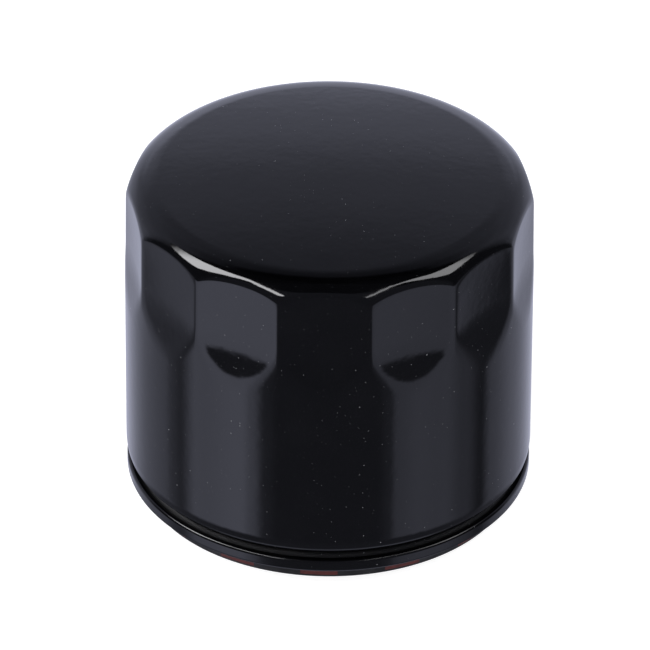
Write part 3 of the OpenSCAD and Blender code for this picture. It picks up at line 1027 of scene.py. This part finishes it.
def build_world():
    """Studio surroundings by direction: pale sides and back, a dark gap at the camera's side."""
    world = bpy.data.worlds.new("studio")
    scene.world = world
    world.use_nodes = True
    tree = world.node_tree
    tree.nodes.clear()
    new, link = tree.nodes.new, tree.links.new

    def feed(value, socket):
        if hasattr(value, "links"):
            link(value, socket)
        else:
            socket.default_value = value

    def math_node(operation, a, b=0.0):
        m = new("ShaderNodeMath")
        m.operation = operation
        feed(a, m.inputs[0])
        feed(b, m.inputs[1])
        return m.outputs[0]

    def ease(value, low, high):
        m = new("ShaderNodeMapRange")
        m.interpolation_type = "SMOOTHSTEP"
        feed(value, m.inputs["Value"])
        m.inputs["From Min"].default_value = low
        m.inputs["From Max"].default_value = high
        return m.outputs[0]

    def curve(value, stops, low, high):
        """A smooth curve through (angle, level) stops; levels are halved to fit the ramp."""
        ramp = new("ShaderNodeValToRGB")
        ramp.color_ramp.interpolation = "EASE"
        feed(math_node("DIVIDE", math_node("SUBTRACT", value, low), high - low), ramp.inputs[0])
        elements = ramp.color_ramp.elements
        for _ in range(len(stops) - 2):
            elements.new(0.5)
        for i, (angle, level) in enumerate(stops):
            elements[i].position = (angle - low) / (high - low)
            elements[i].color = (level / 2, level / 2, level / 2, 1.0)
        return math_node("MULTIPLY", ramp.outputs["Color"], 2.0)

    def blend(a, b, factor):
        return math_node("ADD", math_node("MULTIPLY", a, math_node("SUBTRACT", 1.0, factor)),
                         math_node("MULTIPLY", b, factor))

    coord = new("ShaderNodeTexCoord")
    split = new("ShaderNodeSeparateXYZ")
    link(coord.outputs["Generated"], split.inputs[0])
    x, y, z = split.outputs
    turn = math_node("ARCTAN2", x, math_node("MULTIPLY", y, -1.0))
    azimuth = math_node("SUBTRACT", math_node("MULTIPLY", turn, 180 / math.pi), CAMERA_AZIMUTH)
    side = math_node("ABSOLUTE", azimuth)
    height = math_node("MULTIPLY", math_node("ARCSINE", z), 180 / math.pi)

    low = curve(azimuth, LOW_RAMP, -180, 180)
    back = curve(height, BACK_RAMP, -90, 90)
    far_side = curve(height, SIDE_RAMP, -90, 90)
    front = curve(height, FRONT_RAMP, -90, 90)
    dim = math_node("MULTIPLY", FRONT_DIM, ease(side, 52, 66))
    front = math_node("MULTIPLY", front, math_node("SUBTRACT", 1.0, dim))
    high = blend(front, blend(far_side, back, ease(side, 150, 174)), ease(side, 103, 119))
    low = blend(NEAR_FLOOR, low, ease(height, -42, -35))
    low = blend(FLOOR_BELOW, low, ease(height, -66, -56))
    level = blend(low, high, ease(height, -23, -20))
    tint = new("ShaderNodeCombineColor")
    for i, gain in enumerate(TINT):
        link(math_node("MULTIPLY", level, gain), tint.inputs[i])
    background = new("ShaderNodeBackground")
    link(tint.outputs[0], background.inputs["Color"])
    # the camera itself sees a plain pale backdrop
    backdrop = new("ShaderNodeBackground")
    backdrop.inputs["Color"].default_value = (1.0, 1.0, 1.0, 1.0)
    path = new("ShaderNodeLightPath")
    seen = new("ShaderNodeMixShader")
    link(path.outputs["Is Camera Ray"], seen.inputs[0])
    link(background.outputs[0], seen.inputs[1])
    link(backdrop.outputs[0], seen.inputs[2])
    out = new("ShaderNodeOutputWorld")
    link(seen.outputs[0], out.inputs["Surface"])


def build_camera():
    """A long lens from 33 degrees above the floor, almost square to one wrench flat."""
    distance = 1.55
    focal_px = 8301.5
    frame_px = 650.0
    azimuth, elevation, roll = (math.radians(a) for a in (CAMERA_AZIMUTH, 33.2, 0.35))
    data = bpy.data.cameras.new("camera")
    data.sensor_width = 36.0
    data.lens = data.sensor_width * focal_px / frame_px
    data.clip_start = 0.05
    data.clip_end = 20.0
    data.shift_x = -4.0 / frame_px
    data.shift_y = 0.5 / frame_px
    camera = bpy.data.objects.new("camera", data)
    target = Vector((0, 0, 0.03255))
    level = math.cos(elevation)
    away = Vector((math.sin(azimuth) * level, -math.cos(azimuth) * level, math.sin(elevation)))
    turn = (-away).to_track_quat("-Z", "Y").to_matrix().to_4x4()
    stand = Matrix.Translation(target + away * distance)
    camera.matrix_world = stand @ turn @ Matrix.Rotation(roll, 4, "Z")
    scene.collection.objects.link(camera)
    scene.camera = camera


build_floor()
build_world()
panel("left_panel", LEFT_PANEL, 10.8)
panel("right_panel", RIGHT_PANEL, 4.6)
build_camera()
scene.view_settings.view_transform = "Standard"
scene.cycles.use_denoising = True
